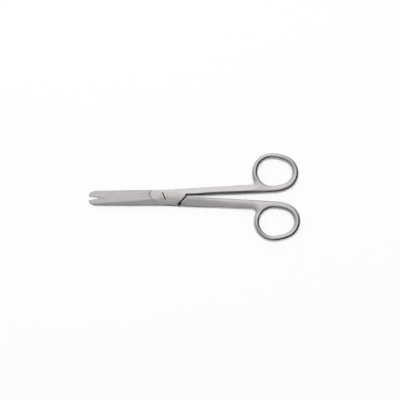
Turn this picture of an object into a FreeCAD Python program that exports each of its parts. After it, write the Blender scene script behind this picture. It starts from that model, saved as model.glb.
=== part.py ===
import FreeCAD, Part
import Sketcher
import math
import os

# Straight dissecting scissors with blunt tips, lying flat and a few degrees open.
# Two forged halves cross in a lap joint and turn on one slotted pivot screw.
# The origin is where the pivot axis meets the table, +X runs to the finger rings and +Z is up.
# Each half is drawn as if it lay on top: its ring at +Y, its blade and box above the middle plane.
# The lower half is then turned over about the X axis.

doc = FreeCAD.newDocument("dissecting_scissors")

# Driving dimensions, in millimetres and degrees
SIZES = [
    ("joint_thick", 5.0, "both halves together at the joint"),
    ("handle_thick", 4.4, "shank at its ring, and the ring"),
    ("lap_gap", 0.1, "between the inner faces of the halves"),
    ("blade_thick", 2.3, "one blade beside the box"),
    ("tip_thick", 1.2, "one blade at its tip"),
    ("blade_reach", 53.4, "pivot to tip"),
    ("box_reach", 9.9, "pivot to the end of the ground blade face"),
    ("tip_back_round", 2.6, "plan radius of the tip, back side"),
    ("tip_edge_round", 0.5, "plan radius of the tip, cutting side"),
    ("ridge_offset", 2.2, "pivot to the ridge of the back bevel"),
    ("bevel_slope", 20.0, "back bevel below the outer face"),
    ("crotch_x", 16.0, "pivot to the corner between the shanks"),
    ("crotch_gap", 1.28, "between the shanks at that corner"),
    ("step_slope", 46.7, "lap joint's step across the length"),
    ("taper_end", 60.0, "pivot to where the shank stops thinning"),
    ("edge_round", 1.6, "rounding along shank and ring"),
    ("ring_wide_radius", 9.85, "finger hole, end at the shank"),
    ("ring_end_radius", 8.6, "finger hole, far end"),
    ("ring_stretch", 6.3, "between the centres of those two ends"),
    ("ring_wall", 4.1, "ring section in plan"),
    ("ring_shift_x", -0.25, "finger hole's centre from the ring's"),
    ("ring_shift_y", 0.55, "finger hole's centre from the ring's"),
    ("upper_edge_tip", -3.07, "cutting edge at the tip"),
    ("upper_edge_root", 3.76, "cutting edge beside the box"),
    ("upper_back_tip", -6.5, "blade's back at the tip"),
    ("upper_back_root", -6.6, "blade's back beside the box"),
    ("upper_lobe_x", 2.0, "where the back starts to turn in"),
    ("upper_lobe_y", -5.8, "back at the foot of the step"),
    ("upper_box_outer", 4.3, "box side at the blade"),
    ("upper_shank_x", 1.4, "where the shank's outer side starts"),
    ("upper_shank_y", 4.4, "shank's outer side there"),
    ("upper_shank_slope", 3.47, "shank's outer side against the length"),
    ("upper_shank_bow", 1000.0, "radius of the shank's inner side"),
    ("upper_ring_x", 76.3, "ring's centre"),
    ("upper_ring_y", 16.5, "ring's centre"),
    ("upper_ring_tilt", -1.1, "ring's long axis"),
    ("upper_web_round", 1.8, "corner between shank and ring"),
    ("lower_edge_tip", 0.1, "cutting edge at the tip"),
    ("lower_edge_root", 5.9, "cutting edge beside the box"),
    ("lower_back_tip", -3.5, "blade's back at the tip"),
    ("lower_back_root", -4.3, "blade's back beside the box"),
    ("lower_lobe_x", 2.0, "where the back starts to turn in"),
    ("lower_lobe_y", -3.3, "back at the foot of the step"),
    ("lower_box_outer", 6.2, "box side at the blade"),
    ("lower_shank_x", 3.0, "where the shank's outer side starts"),
    ("lower_shank_y", 6.96, "shank's outer side there"),
    ("lower_shank_slope", 2.07, "shank's outer side against the length"),
    ("lower_shank_bow", 3000.0, "radius of the shank's inner side"),
    ("lower_ring_x", 77.6, "ring's centre"),
    ("lower_ring_y", 17.9, "ring's centre"),
    ("lower_ring_tilt", -2.4, "ring's long axis"),
    ("lower_web_round", 2.6, "corner between shank and ring"),
    ("screw_head_radius", 2.7, "pivot screw"),
    ("screw_head_deep", 1.3, "pivot screw"),
    ("screw_neck_radius", 1.7, "running part in the upper half"),
    ("screw_thread_radius", 1.5, "threaded part in the lower half"),
    ("screw_sink", 0.05, "head below the upper half's face"),
    ("slot_wide", 0.8, "screwdriver slot"),
    ("slot_deep", 0.7, "screwdriver slot"),
    ("slot_turn", -66.6, "screwdriver slot against the length"),
    ("running_gap", 0.05, "screw in the upper half"),
]

sheet = doc.addObject("Spreadsheet::Sheet", "Sizes")
for row, (alias, value, note) in enumerate(SIZES, start=1):
    sheet.set("A%d" % row, alias)
    sheet.set("B%d" % row, str(value))
    sheet.set("C%d" % row, note)
    sheet.setAlias("B%d" % row, alias)
doc.recompute()

size = {alias: value for alias, value, note in SIZES}

# Cutting tools reach this far past the metal, in millimetres
PAST = 5.0
# A point lies on a line or plane when it is this close, in millimetres
NEAR = 0.01


def sketch_on(body, role, name, lift=None):
    """A sketch on one of the body's own origin planes, raised by an expression."""
    sketch = body.newObject("Sketcher::SketchObject", name)
    plane = next(feature for feature in body.Origin.OriginFeatures if feature.Role == role)
    sketch.AttachmentSupport = [(plane, "")]
    sketch.MapMode = "FlatFace"
    if lift:
        sketch.setExpression("AttachmentOffset.Base.z", lift)
    return sketch


def bind(sketch, constraint, expression):
    """Adds a dimension to a sketch and ties it to the sizes."""
    index = sketch.addConstraint(constraint)
    sketch.setExpression("Constraints[%d]" % index, expression)


def hold_point(sketch, geometry, end, point, expressions):
    """Holds one point of a piece of geometry at two tied coordinates."""
    bind(sketch, Sketcher.Constraint("DistanceX", geometry, end, point[0]), expressions[0])
    bind(sketch, Sketcher.Constraint("DistanceY", geometry, end, point[1]), expressions[1])


def add_arc(sketch, centre, radius, start, stop):
    """Adds a circular arc that runs anticlockwise between two points, and returns its index."""
    first = math.atan2(start[1] - centre[1], start[0] - centre[0])
    last = math.atan2(stop[1] - centre[1], stop[0] - centre[0])
    if last < first:
        last += 2 * math.pi
    circle = Part.Circle(FreeCAD.Vector(centre[0], centre[1], 0), FreeCAD.Vector(0, 0, 1), radius)
    return sketch.addGeometry(Part.ArcOfCircle(circle, first, last))


def loop(sketch, corners, arc=None):
    """
    Draws a closed loop of straight sides. A corner is ((x, y), (x expression, y expression)).
    The first side may be an arc, given as (centre, radius, radius expression).
    """
    first = sketch.GeometryCount
    for here, there in zip(corners, corners[1:] + corners[:1]):
        if arc and here is corners[0]:
            add_arc(sketch, arc[0], arc[1], here[0], there[0])
            continue
        start = FreeCAD.Vector(here[0][0], here[0][1], 0)
        stop = FreeCAD.Vector(there[0][0], there[0][1], 0)
        sketch.addGeometry(Part.LineSegment(start, stop))
    for index, corner in enumerate(corners):
        before = first + (index - 1) % len(corners)
        sketch.addConstraint(Sketcher.Constraint("Coincident", before, 2, first + index, 1))
        hold_point(sketch, first + index, 1, corner[0], corner[1])
    if arc:
        bind(sketch, Sketcher.Constraint("Radius", first, arc[1]), arc[2])


def join_smoothly(sketch, first, first_end, second, second_end):
    """Joins two ends so that one curve runs on into the other."""
    sketch.addConstraint(Sketcher.Constraint("Tangent", first, first_end, second, second_end))


def step(point, direction, distance):
    """The point that lies a distance along a direction."""
    return (point[0] + direction[0] * distance, point[1] + direction[1] * distance)


def towards(start, stop):
    """The unit direction from one point to another."""
    gap = math.dist(start, stop)
    return ((stop[0] - start[0]) / gap, (stop[1] - start[1]) / gap)


def heading(degrees):
    """The unit direction at an angle to the length."""
    return (math.cos(math.radians(degrees)), math.sin(math.radians(degrees)))


def egg(centre, tilt, wide, end, stretch):
    """
    A finger ring's oval: two end arcs, of radius wide and end, a stretch apart, with two
    side arcs that are tangent to both and start square across the wide end's centre.
    """
    along = heading(tilt)
    across = heading(tilt + 90)
    side = (stretch ** 2 + wide ** 2 - end ** 2) / (2 * (wide - end))
    far = step(centre, along, stretch)
    below = step(centre, across, wide - side)
    above = step(centre, across, side - wide)
    return {
        "centre": centre, "far": far, "side": side, "below": below, "above": above,
        "top": step(centre, across, wide), "bottom": step(centre, across, -wide),
        "far_top": step(far, towards(below, far), end),
        "far_bottom": step(far, towards(above, far), end),
    }


def side_radius(wide, end):
    """The expression for the radius of an egg's side arcs."""
    return "(Sizes.ring_stretch ^ 2 + (%s) ^ 2 - (%s) ^ 2) / (2 * ((%s) - (%s)))" % (wide, end, wide, end)


def bow_onto(corner, bow, centre, radius):
    """The centre of a bow that starts at a corner and runs smoothly onto an arc, and where the two meet."""
    reach = math.dist(corner, centre)
    along = (bow ** 2 - (bow - radius) ** 2 + reach ** 2) / (2 * reach)
    aim = towards(corner, centre)
    bow_centre = step(step(corner, aim, along), (-aim[1], aim[0]), math.sqrt(bow ** 2 - along ** 2))
    return bow_centre, step(bow_centre, towards(bow_centre, centre), bow)


def finger_hole(body, half, name):
    """The closed oval of the finger hole, as four tangent arcs."""
    centre = (size[half + "_ring_x"] + size["ring_shift_x"], size[half + "_ring_y"] + size["ring_shift_y"])
    wide, end = size["ring_wide_radius"], size["ring_end_radius"]
    oval = egg(centre, size[half + "_ring_tilt"], wide, end, size["ring_stretch"])
    sketch = sketch_on(body, "XY_Plane", name, "Sizes.joint_thick / 2")
    near = add_arc(sketch, oval["centre"], wide, oval["top"], oval["bottom"])
    lower = add_arc(sketch, oval["above"], oval["side"], oval["bottom"], oval["far_bottom"])
    far = add_arc(sketch, oval["far"], end, oval["far_bottom"], oval["far_top"])
    upper = add_arc(sketch, oval["below"], oval["side"], oval["far_top"], oval["top"])
    for first, second in ((near, lower), (lower, far), (far, upper), (upper, near)):
        join_smoothly(sketch, first, 2, second, 1)
    x_text = "Sizes.%s_ring_x + Sizes.ring_shift_x" % half
    y_text = "Sizes.%s_ring_y + Sizes.ring_shift_y" % half
    hold_point(sketch, near, 3, oval["centre"], (x_text, y_text))
    hold_point(sketch, far, 3, oval["far"], (
        x_text + " + Sizes.ring_stretch * cos(Sizes.%s_ring_tilt)" % half,
        y_text + " + Sizes.ring_stretch * sin(Sizes.%s_ring_tilt)" % half))
    bind(sketch, Sketcher.Constraint("Radius", near, wide), "Sizes.ring_wide_radius")
    bind(sketch, Sketcher.Constraint("Radius", far, end), "Sizes.ring_end_radius")
    radius_text = side_radius("Sizes.ring_wide_radius", "Sizes.ring_end_radius")
    bind(sketch, Sketcher.Constraint("Radius", upper, oval["side"]), radius_text)
    bind(sketch, Sketcher.Constraint("Radius", lower, oval["side"]), radius_text)
    return sketch


def handle_outline(body, half, name):
    """The outline of shank and ring, from the lap joint's step round the ring and back."""
    corner = (size["crotch_x"], size["crotch_gap"] / 2)
    centre = (size[half + "_ring_x"], size[half + "_ring_y"])
    wide = size["ring_wide_radius"] + size["ring_wall"]
    end = size["ring_end_radius"] + size["ring_wall"]
    oval = egg(centre, size[half + "_ring_tilt"], wide, end, size["ring_stretch"])

    # The inner side bows onto the ring's lower side arc, or where that is too flat onto the far end
    bow = size[half + "_shank_bow"]
    bow_centre, meeting = bow_onto(corner, bow, oval["above"], oval["side"])
    onto_side = meeting[0] < oval["far_bottom"][0]
    if not onto_side:
        bow_centre, meeting = bow_onto(corner, bow, oval["far"], end)

    # The outer side is straight, and a small round joins it to the ring
    start = (size[half + "_shank_x"], size[half + "_shank_y"])
    run = heading(size[half + "_shank_slope"])
    lift = heading(size[half + "_shank_slope"] + 90)
    web = size[half + "_web_round"]
    raised = step(start, lift, web)
    ahead = (centre[0] - raised[0]) * run[0] + (centre[1] - raised[1]) * run[1]
    aside = (centre[0] - raised[0]) * lift[0] + (centre[1] - raised[1]) * lift[1]
    web_centre = step(raised, run, ahead - math.sqrt((wide + web) ** 2 - aside ** 2))
    web_on_shank = step(web_centre, lift, -web)
    web_on_ring = step(centre, towards(centre, web_centre), wide)

    # The step crosses the shank from the corner to the outer side
    across = heading(180 - size["step_slope"])
    offset = (start[0] - corner[0], start[1] - corner[1])
    turn = across[0] * run[1] - across[1] * run[0]
    shoulder = step(corner, across, (offset[0] * run[1] - offset[1] * run[0]) / turn)

    sketch = sketch_on(body, "XY_Plane", name, "Sizes.joint_thick / 2")
    shoulder_line = sketch.addGeometry(Part.LineSegment(
        FreeCAD.Vector(shoulder[0], shoulder[1], 0), FreeCAD.Vector(corner[0], corner[1], 0)))
    inner = add_arc(sketch, bow_centre, bow, corner, meeting)
    far = add_arc(sketch, oval["far"], end, oval["far_bottom"] if onto_side else meeting, oval["far_top"])
    upper = add_arc(sketch, oval["below"], oval["side"], oval["far_top"], oval["top"])
    near = add_arc(sketch, oval["centre"], wide, oval["top"], web_on_ring)
    web_arc = add_arc(sketch, web_centre, web, web_on_shank, web_on_ring)
    outer = sketch.addGeometry(Part.LineSegment(
        FreeCAD.Vector(web_on_shank[0], web_on_shank[1], 0), FreeCAD.Vector(shoulder[0], shoulder[1], 0)))
    mark = sketch.addGeometry(Part.Point(FreeCAD.Vector(start[0], start[1], 0)), True)

    sketch.addConstraint(Sketcher.Constraint("Coincident", outer, 2, shoulder_line, 1))
    sketch.addConstraint(Sketcher.Constraint("Coincident", shoulder_line, 2, inner, 1))
    run_round = [inner, far, upper, near]
    if onto_side:
        lower = add_arc(sketch, oval["above"], oval["side"], meeting, oval["far_bottom"])
        run_round.insert(1, lower)
    for first, second in zip(run_round, run_round[1:]):
        join_smoothly(sketch, first, 2, second, 1)
    join_smoothly(sketch, near, 2, web_arc, 2)
    join_smoothly(sketch, web_arc, 1, outer, 1)

    names = {key: "Sizes.%s_%s" % (half, key) for key in
             ("ring_x", "ring_y", "ring_tilt", "shank_x", "shank_y", "shank_slope", "shank_bow", "web_round")}
    wide_text = "Sizes.ring_wide_radius + Sizes.ring_wall"
    end_text = "Sizes.ring_end_radius + Sizes.ring_wall"
    side_text = side_radius(wide_text, end_text)
    hold_point(sketch, shoulder_line, 2, corner, ("Sizes.crotch_x", "Sizes.crotch_gap / 2"))
    bind(sketch, Sketcher.Constraint("Angle", shoulder_line, math.radians(-size["step_slope"])),
         "-Sizes.step_slope * 1 deg")
    hold_point(sketch, mark, 1, start, (names["shank_x"], names["shank_y"]))
    sketch.addConstraint(Sketcher.Constraint("PointOnObject", mark, 1, outer))
    bind(sketch, Sketcher.Constraint("Angle", outer, math.radians(size[half + "_shank_slope"] - 180)),
         "(%s - 180) * 1 deg" % names["shank_slope"])
    hold_point(sketch, near, 3, centre, (names["ring_x"], names["ring_y"]))
    hold_point(sketch, far, 3, oval["far"], (
        "%s + Sizes.ring_stretch * cos(%s)" % (names["ring_x"], names["ring_tilt"]),
        "%s + Sizes.ring_stretch * sin(%s)" % (names["ring_y"], names["ring_tilt"])))
    if onto_side:
        bind(sketch, Sketcher.Constraint("DistanceX", lower, 3, oval["above"][0]),
             "%s - (%s - (%s)) * sin(%s)" % (names["ring_x"], side_text, wide_text, names["ring_tilt"]))
        bind(sketch, Sketcher.Constraint("Radius", lower, oval["side"]), side_text)
    bind(sketch, Sketcher.Constraint("Radius", near, wide), wide_text)
    bind(sketch, Sketcher.Constraint("Radius", far, end), end_text)
    bind(sketch, Sketcher.Constraint("Radius", upper, oval["side"]), side_text)
    bind(sketch, Sketcher.Constraint("Radius", inner, bow), names["shank_bow"])
    bind(sketch, Sketcher.Constraint("Radius", web_arc, web), names["web_round"])
    return sketch


def pad(body, sketch, name, length, both_ways=False):
    """Raises a sketch into metal."""
    feature = body.newObject("PartDesign::Pad", name)
    feature.Profile = sketch
    feature.Midplane = both_ways
    feature.setExpression("Length", length)
    doc.recompute()
    return feature


def cut_through(body, sketch, name):
    """Cuts a sketch through everything, both ways."""
    feature = body.newObject("PartDesign::Pocket", name)
    feature.Profile = sketch
    feature.Type = "ThroughAll"
    feature.Midplane = True
    doc.recompute()
    return feature


def edge_names(feature, wanted):
    """The names of the edges of a feature for which wanted(edge) is true."""
    return ["Edge%d" % number for number, edge in enumerate(feature.Shape.Edges, start=1) if wanted(edge)]


def round_edges(body, base, name, wanted, radius):
    """Rounds the chosen edges of a feature."""
    feature = body.newObject("PartDesign::Fillet", name)
    feature.Base = (base, edge_names(base, wanted))
    feature.setExpression("Radius", radius)
    doc.recompute()
    return feature


def upright(edge):
    """Whether an edge stands square to the table."""
    first, last = edge.Vertexes[0].Point, edge.Vertexes[-1].Point
    return math.hypot(last.x - first.x, last.y - first.y) < NEAR and abs(last.z - first.z) > NEAR


def make_handle(body, half):
    """Shank and finger ring: a rounded bar that thins from the joint to the ring."""
    blank = pad(body, handle_outline(body, half, half + "_handle_plan"), half + "_handle_blank",
                "Sizes.joint_thick", both_ways=True)

    # Both faces are hollowed from the corner between the shanks, and run level round the ring
    thick, thin = size["joint_thick"], (size["joint_thick"] - size["handle_thick"]) / 2
    near, level = size["crotch_x"], size["taper_end"]
    far = size[half + "_ring_x"] + size["ring_stretch"] + size["ring_end_radius"] + size["ring_wall"] + PAST
    hollow = ((level - near) ** 2 + thin ** 2) / (2 * thin)
    thin_text = "(Sizes.joint_thick - Sizes.handle_thick) / 2"
    top_text = "Sizes.joint_thick - " + thin_text
    past_text = "Sizes.joint_thick + %s" % PAST
    far_text = ("Sizes.%s_ring_x + Sizes.ring_stretch + Sizes.ring_end_radius + Sizes.ring_wall + %s"
                % (half, PAST))
    hollow_text = "((Sizes.taper_end - Sizes.crotch_x) ^ 2 + (%s) ^ 2) / (2 * (%s))" % (thin_text, thin_text)
    taper = sketch_on(body, "XZ_Plane", half + "_handle_side")
    loop(taper, [
        ((near, thick), ("Sizes.crotch_x", "Sizes.joint_thick")),
        ((level, thick - thin), ("Sizes.taper_end", top_text)),
        ((far, thick - thin), (far_text, top_text)),
        ((far, thick + PAST), (far_text, past_text)),
        ((near, thick + PAST), ("Sizes.crotch_x", past_text)),
    ], ((level, thick - thin + hollow), hollow, hollow_text))
    loop(taper, [
        ((level, thin), ("Sizes.taper_end", thin_text)),
        ((near, 0), ("Sizes.crotch_x", "0")),
        ((near, -PAST), ("Sizes.crotch_x", "-%s" % PAST)),
        ((far, -PAST), (far_text, "-%s" % PAST)),
        ((far, thin), (far_text, thin_text)),
    ], ((level, thin - hollow), hollow, hollow_text))
    cut_through(body, taper, half + "_handle_taper")
    bar = cut_through(body, finger_hole(body, half, half + "_hole_plan"), half + "_finger_hole")

    # Every edge round the shank and the ring is rounded, but not the step or the faces' own bends
    def along_handle(edge):
        middle = edge.valueAt((edge.FirstParameter + edge.LastParameter) / 2)
        ends = [vertex.Point.x for vertex in edge.Vertexes]
        across = abs(ends[0] - ends[-1]) < NEAR and len(ends) > 1 and edge.Curve.TypeId == "Part::GeomLine"
        run = (size["crotch_x"] - middle.x) * math.tan(math.radians(size["step_slope"]))
        on_step = abs(middle.y - size["crotch_gap"] / 2 - run) < NEAR and middle.x < size["crotch_x"]
        return not (upright(edge) or across or on_step)

    return round_edges(body, bar, half + "_handle_round", along_handle, "Sizes.edge_round")


def make_box_and_blade(body, half):
    """The half-thick box and blade: the lap joint's flat inner face, bevelled back and blunt tip."""
    corner_x, corner_y = size["crotch_x"], size["crotch_gap"] / 2
    tangent = math.tan(math.radians(size["step_slope"]))
    slope = math.tan(math.radians(size[half + "_shank_slope"]))
    side = "Sizes." + half
    foot_x = corner_x - (corner_y - size[half + "_lobe_y"]) / tangent
    foot_text = "Sizes.crotch_x - (Sizes.crotch_gap / 2 - %s_lobe_y) / tan(Sizes.step_slope)" % side
    outer_y = size[half + "_shank_y"] + (corner_x - size[half + "_shank_x"]) * slope
    outer_text = "%s_shank_y + (Sizes.crotch_x - %s_shank_x) * tan(%s_shank_slope)" % (side, side, side)

    plan = sketch_on(body, "XY_Plane", half + "_blade_plan", "(Sizes.joint_thick + Sizes.lap_gap) / 2")
    loop(plan, [
        ((-size["blade_reach"], size[half + "_edge_tip"]), ("-Sizes.blade_reach", side + "_edge_tip")),
        ((-size["blade_reach"], size[half + "_back_tip"]), ("-Sizes.blade_reach", side + "_back_tip")),
        ((-size["box_reach"], size[half + "_back_root"]), ("-Sizes.box_reach", side + "_back_root")),
        ((size[half + "_lobe_x"], size[half + "_back_root"]), (side + "_lobe_x", side + "_back_root")),
        ((foot_x, size[half + "_lobe_y"]), (foot_text, side + "_lobe_y")),
        ((corner_x, corner_y), ("Sizes.crotch_x", "Sizes.crotch_gap / 2")),
        ((corner_x, outer_y), ("Sizes.crotch_x", outer_text)),
        ((size[half + "_shank_x"], size[half + "_shank_y"]), (side + "_shank_x", side + "_shank_y")),
        ((-size["box_reach"], size[half + "_box_outer"]), ("-Sizes.box_reach", side + "_box_outer")),
        ((-size["box_reach"], size[half + "_edge_root"]), ("-Sizes.box_reach", side + "_edge_root")),
    ])
    blade = pad(body, plan, half + "_blade_blank", "(Sizes.joint_thick - Sizes.lap_gap) / 2")

    # The tip is blunt: round at the back and eased at the cutting edge
    def tip_corner(height):
        def wanted(edge):
            point = edge.Vertexes[0].Point
            return upright(edge) and math.dist((point.x, point.y), (-size["blade_reach"], height)) < NEAR
        return wanted

    blade = round_edges(body, blade, half + "_tip_back", tip_corner(size[half + "_back_tip"]),
                        "Sizes.tip_back_round")
    round_edges(body, blade, half + "_tip_edge", tip_corner(size[half + "_edge_tip"]), "Sizes.tip_edge_round")

    # The blade's outer face is ground down from the box to the tip
    inner = (size["joint_thick"] + size["lap_gap"]) / 2
    inner_text = "(Sizes.joint_thick + Sizes.lap_gap) / 2"
    top_text = "Sizes.joint_thick + %s" % PAST
    face = sketch_on(body, "XZ_Plane", half + "_blade_side")
    loop(face, [
        ((-size["box_reach"], inner + size["blade_thick"]),
         ("-Sizes.box_reach", inner_text + " + Sizes.blade_thick")),
        ((-size["box_reach"], size["joint_thick"] + PAST), ("-Sizes.box_reach", top_text)),
        ((-size["blade_reach"], size["joint_thick"] + PAST), ("-Sizes.blade_reach", top_text)),
        ((-size["blade_reach"], inner + size["tip_thick"]),
         ("-Sizes.blade_reach", inner_text + " + Sizes.tip_thick")),
    ])
    cut_through(body, face, half + "_blade_face")

    # The back is bevelled from a ridge that runs along box and blade
    deepest = -size[half + "_back_root"] + PAST
    drop = (deepest - size["ridge_offset"]) * math.tan(math.radians(size["bevel_slope"]))
    deepest_text = "(%s - %s_back_root)" % (PAST, side)
    drop_text = "(%s - Sizes.ridge_offset) * tan(Sizes.bevel_slope)" % deepest_text
    bevel = sketch_on(body, "YZ_Plane", half + "_bevel_section")
    loop(bevel, [
        ((-size["ridge_offset"], size["joint_thick"]), ("-Sizes.ridge_offset", "Sizes.joint_thick")),
        ((-size["ridge_offset"], size["joint_thick"] + PAST), ("-Sizes.ridge_offset", top_text)),
        ((-deepest, size["joint_thick"] + PAST), ("-" + deepest_text, top_text)),
        ((-deepest, size["joint_thick"] - drop), ("-" + deepest_text, "Sizes.joint_thick - " + drop_text)),
    ])
    return cut_through(body, bevel, half + "_back_bevel")


def bore(body, name, radius, bottom, height):
    """Cuts a round hole on the pivot axis, from a height upwards."""
    sketch = sketch_on(body, "XY_Plane", name + "_plan", bottom)
    circle = sketch.addGeometry(Part.Circle(FreeCAD.Vector(0, 0, 0), FreeCAD.Vector(0, 0, 1), 1.0))
    sketch.addConstraint(Sketcher.Constraint("Coincident", circle, 3, -1, 1))
    bind(sketch, Sketcher.Constraint("Radius", circle, 1.0), radius)
    feature = body.newObject("PartDesign::Pocket", name)
    feature.Profile = sketch
    feature.Reversed = True
    feature.setExpression("Length", height)
    doc.recompute()
    return feature


def make_half(half):
    """One forged half, drawn as if it lay on top."""
    body = doc.addObject("PartDesign::Body", half + "_half")
    body.Label = half + "_half"
    make_handle(body, half)
    make_box_and_blade(body, half)
    return body


def make_upper_half():
    """The upper half: the screw's neck turns in its hole, and the head lies flush in it."""
    body = make_half("upper")
    bore(body, "neck_hole", "Sizes.screw_neck_radius + Sizes.running_gap", "0", "Sizes.joint_thick")
    bore(body, "head_seat", "Sizes.screw_head_radius + Sizes.running_gap",
         "Sizes.joint_thick - Sizes.screw_sink - Sizes.screw_head_deep - Sizes.running_gap",
         "Sizes.screw_head_deep + Sizes.screw_sink + Sizes.running_gap")
    return body


def make_lower_half():
    """The lower half: threaded for the screw, and turned over below the upper one."""
    body = make_half("lower")
    bore(body, "thread_hole", "Sizes.screw_thread_radius", "0", "Sizes.joint_thick")
    body.Placement = FreeCAD.Placement(
        FreeCAD.Vector(0, 0, size["joint_thick"]), FreeCAD.Rotation(FreeCAD.Vector(1, 0, 0), 180))
    body.setExpression("Placement.Base.z", "Sizes.joint_thick")
    return body


def make_screw():
    """The pivot screw: slotted head, running neck, and a threaded end flush with the underside."""
    body = doc.addObject("PartDesign::Body", "pivot_screw")
    body.Label = "pivot_screw"
    head, neck, thread = size["screw_head_radius"], size["screw_neck_radius"], size["screw_thread_radius"]
    high = size["joint_thick"] - size["screw_sink"]
    seat = high - size["screw_head_deep"]
    # The neck stops level with the lower half's inner face
    lap = (size["joint_thick"] - size["lap_gap"]) / 2
    high_text = "Sizes.joint_thick - Sizes.screw_sink"
    seat_text = high_text + " - Sizes.screw_head_deep"
    lap_text = "(Sizes.joint_thick - Sizes.lap_gap) / 2"
    profile = sketch_on(body, "XZ_Plane", "screw_profile")
    loop(profile, [
        ((0, 0), ("0", "0")),
        ((thread, 0), ("Sizes.screw_thread_radius", "0")),
        ((thread, lap), ("Sizes.screw_thread_radius", lap_text)),
        ((neck, lap), ("Sizes.screw_neck_radius", lap_text)),
        ((neck, seat), ("Sizes.screw_neck_radius", seat_text)),
        ((head, seat), ("Sizes.screw_head_radius", seat_text)),
        ((head, high), ("Sizes.screw_head_radius", high_text)),
        ((0, high), ("0", high_text)),
    ])
    turned = body.newObject("PartDesign::Revolution", "turned_screw")
    turned.Profile = profile
    turned.ReferenceAxis = (profile, ["V_Axis"])
    turned.Angle = 360
    doc.recompute()

    slot = sketch_on(body, "XY_Plane", "slot_plan", high_text)
    slot.setExpression("AttachmentOffset.Rotation.Angle", "Sizes.slot_turn")
    half_long, half_wide = head + PAST, size["slot_wide"] / 2
    long_text = "(Sizes.screw_head_radius + %s)" % PAST
    loop(slot, [
        ((-half_long, -half_wide), ("-" + long_text, "-Sizes.slot_wide / 2")),
        ((half_long, -half_wide), (long_text, "-Sizes.slot_wide / 2")),
        ((half_long, half_wide), (long_text, "Sizes.slot_wide / 2")),
        ((-half_long, half_wide), ("-" + long_text, "Sizes.slot_wide / 2")),
    ])
    slot_cut = body.newObject("PartDesign::Pocket", "driver_slot")
    slot_cut.Profile = slot
    slot_cut.setExpression("Length", "Sizes.slot_deep")
    doc.recompute()
    return body


def check_and_export(parts):
    """Stops at any failed object or bad solid, then writes one file for each piece."""
    for item in doc.Objects:
        if "Invalid" in item.State or "Error" in item.State:
            raise RuntimeError("%s failed: %s" % (item.Name, item.State))
    for part in parts:
        if part.Shape.isNull() or not part.Shape.isValid() or len(part.Shape.Solids) != 1:
            raise RuntimeError("%s isn't one valid solid" % part.Label)
    os.makedirs("parts", exist_ok=True)
    for part in parts:
        part.Shape.exportStep("parts/%s.step" % part.Label)
        box = part.Shape.BoundBox
        print("%s: %.1f mm3, X %.2f to %.2f, Y %.2f to %.2f, Z %.2f to %.2f" % (
            part.Label, part.Shape.Volume, box.XMin, box.XMax, box.YMin, box.YMax, box.ZMin, box.ZMax))


pieces = [make_upper_half(), make_lower_half(), make_screw()]
doc.recompute()
check_and_export(pieces)
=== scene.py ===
import math

import bmesh
import bpy
import numpy as np
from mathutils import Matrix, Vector


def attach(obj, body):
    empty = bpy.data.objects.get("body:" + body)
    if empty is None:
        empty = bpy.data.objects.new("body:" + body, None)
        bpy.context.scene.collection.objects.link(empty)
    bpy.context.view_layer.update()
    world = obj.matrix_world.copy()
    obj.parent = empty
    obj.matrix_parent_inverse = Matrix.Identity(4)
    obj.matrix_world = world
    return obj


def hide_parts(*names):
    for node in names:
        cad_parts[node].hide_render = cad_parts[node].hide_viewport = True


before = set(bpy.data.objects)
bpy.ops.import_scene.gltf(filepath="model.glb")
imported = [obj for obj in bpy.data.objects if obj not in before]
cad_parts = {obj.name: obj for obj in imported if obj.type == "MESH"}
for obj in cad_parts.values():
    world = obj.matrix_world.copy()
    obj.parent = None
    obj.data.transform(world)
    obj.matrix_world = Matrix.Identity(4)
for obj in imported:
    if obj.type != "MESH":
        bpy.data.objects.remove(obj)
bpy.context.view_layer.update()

# Straight dissecting scissors. The pivot is the origin and the blades point to -X. Each half is worked
# out in millimetres as if it lay on top, with its finger ring at +Y, and the lower half is then turned
# over about the X axis.

# The inner face lies just above the middle of the joint, which leaves the halves their clearance
JOINT_THICK, INNER_FACE, HANDLE_DROP = 5.0, 2.55, 0.3

# Blade and box: reach from the pivot, the face's height at its two ends, the back's bevel, the groove
# and crown of the face, the ground cutting edge and the blunt tip
BLADE_REACH, BOX_REACH = 53.4, 9.9
BLADE_FACE_ROOT, BLADE_FACE_TIP = 4.85, 3.75
RIDGE_Y, BEVEL = -2.2, math.tan(math.radians(20.0))
GROOVE_DEEP, GROOVE_WIDE, CROWN = 0.26, 0.42, 0.02
EDGE_DEEP, EDGE_WIDE = 0.4, 0.25
TIP_LONG, TIP_POWER, TIP_PLACE = 5.2, 1.75, 0.16

# The lap joint's step runs from the crotch between the shanks at this slope
CROTCH, STEP_SLOPE = (16.0, 0.64), math.radians(46.7)

# Finger rings: half width, radius of the far end, length between the two centres, wall, the hole's
# shift within the outline, and where a shank's strip of columns hands over to its ring
RING_WIDE, RING_END, RING_STRETCH, RING_WALL = 9.85, 8.6, 6.3, 4.1
RING_SHIFT = (-0.25, 0.55)
RING_START = 67.0

# Pivot: the patch that the collars fill, the upper half's well, the screw, and the slot in its head
BLOCK_X, BLOCK_Y = 3.7, 3.45
SEAT_RADIUS, SEAT_FLOOR, NECK_RADIUS, THREAD_RADIUS = 2.75, 3.6, 1.75, 1.5
HEAD_RADIUS, HEAD_FLOOR, HEAD_SINK, HEAD_EDGE = 2.7, 3.65, 0.02, 0.08
SHAFT_RADIUS, SHAFT_END, THREAD_START, SCREW_END, END_EDGE = 1.7, 2.6, 2.45, 0.02, 0.12
SLOT_WIDE, SLOT_DEEP, SLOT_TURN = 0.8, 0.7, math.radians(-66.6)

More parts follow.
